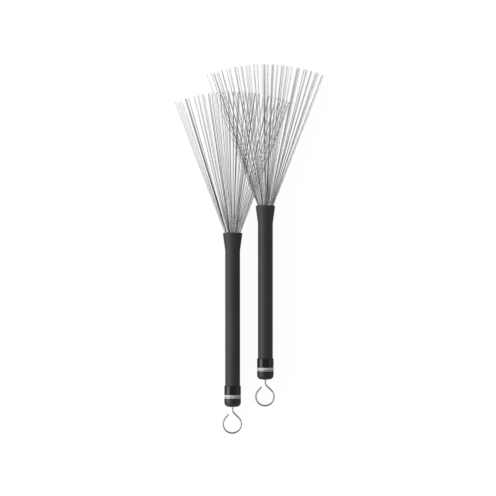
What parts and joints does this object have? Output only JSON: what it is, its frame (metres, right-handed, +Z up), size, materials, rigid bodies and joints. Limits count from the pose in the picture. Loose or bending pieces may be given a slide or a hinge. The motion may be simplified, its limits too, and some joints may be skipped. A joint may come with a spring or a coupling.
{
  "type": "wire drum brush pair",
  "caption": "Retractable wire drum brushes lying side by side: flared rubber handles, open looped pull rods and overlapping flat fans of thin steel wires.",
  "frame": {"origin": "under the middle of the pair, on the surface that both brushes lie on", "axes": "+Y along the brushes towards their wire tips, +X from the left brush to the right one, +Z up from the surface"},
  "size_m": [0.147, 0.3556, 0.0184],
  "materials": {
    "grip_rubber": "matt, finely textured dark grey rubber",
    "seal_rubber": "smooth black rubber",
    "cap_plastic": "glossy black",
    "bush_nylon": "natural nylon",
    "tube_aluminium": "drawn, satin",
    "rod_steel": "bright nickel-plated steel",
    "wire_steel": "drawn spring steel"
  },
  "bodies": {
    "left_handle": {"left_grip": "grip_rubber", "left_tube": "tube_aluminium", "left_end_cap": "cap_plastic", "left_rod_bush": "bush_nylon", "left_stop_washer": "rod_steel"},
    "left_slider": {"left_pull_rod": "rod_steel", "left_rod_collar": "rod_steel", "left_wire_ferrule": "tube_aluminium", "left_front_ring": "seal_rubber", "left_rear_ring": "seal_rubber", "left_wire_row_1": "wire_steel", "left_wire_row_2": "wire_steel", "left_wire_row_3": "wire_steel", "left_wire_row_4": "wire_steel", "left_wire_row_5": "wire_steel"},
    "right_handle": {"right_grip": "grip_rubber", "right_tube": "tube_aluminium", "right_end_cap": "cap_plastic", "right_rod_bush": "bush_nylon", "right_stop_washer": "rod_steel"},
    "right_slider": {"right_pull_rod": "rod_steel", "right_rod_collar": "rod_steel", "right_wire_ferrule": "tube_aluminium", "right_front_ring": "seal_rubber", "right_rear_ring": "seal_rubber", "right_wire_row_1": "wire_steel", "right_wire_row_2": "wire_steel", "right_wire_row_3": "wire_steel", "right_wire_row_4": "wire_steel", "right_wire_row_5": "wire_steel"}
  },
  "joints": [
    {"name": "left_fan_retract", "type": "slide", "parent": "left_handle", "child": "left_slider", "axis": [0, -1, -0.0074], "range_m": [0, 0.1375], "deforming": ["left_wire_row_1", "left_wire_row_2", "left_wire_row_3", "left_wire_row_4", "left_wire_row_5"]},
    {"name": "right_fan_retract", "type": "slide", "parent": "right_handle", "child": "right_slider", "axis": [0, -1, -0.0074], "range_m": [0, 0.1375], "deforming": ["right_wire_row_1", "right_wire_row_2", "right_wire_row_3", "right_wire_row_4", "right_wire_row_5"]},
    {"name": "right_brush_lift", "type": "slide", "parent": "left_handle", "child": "right_handle", "axis": [0, 0, 1], "range_m": [0, 0.05]}
  ]
}
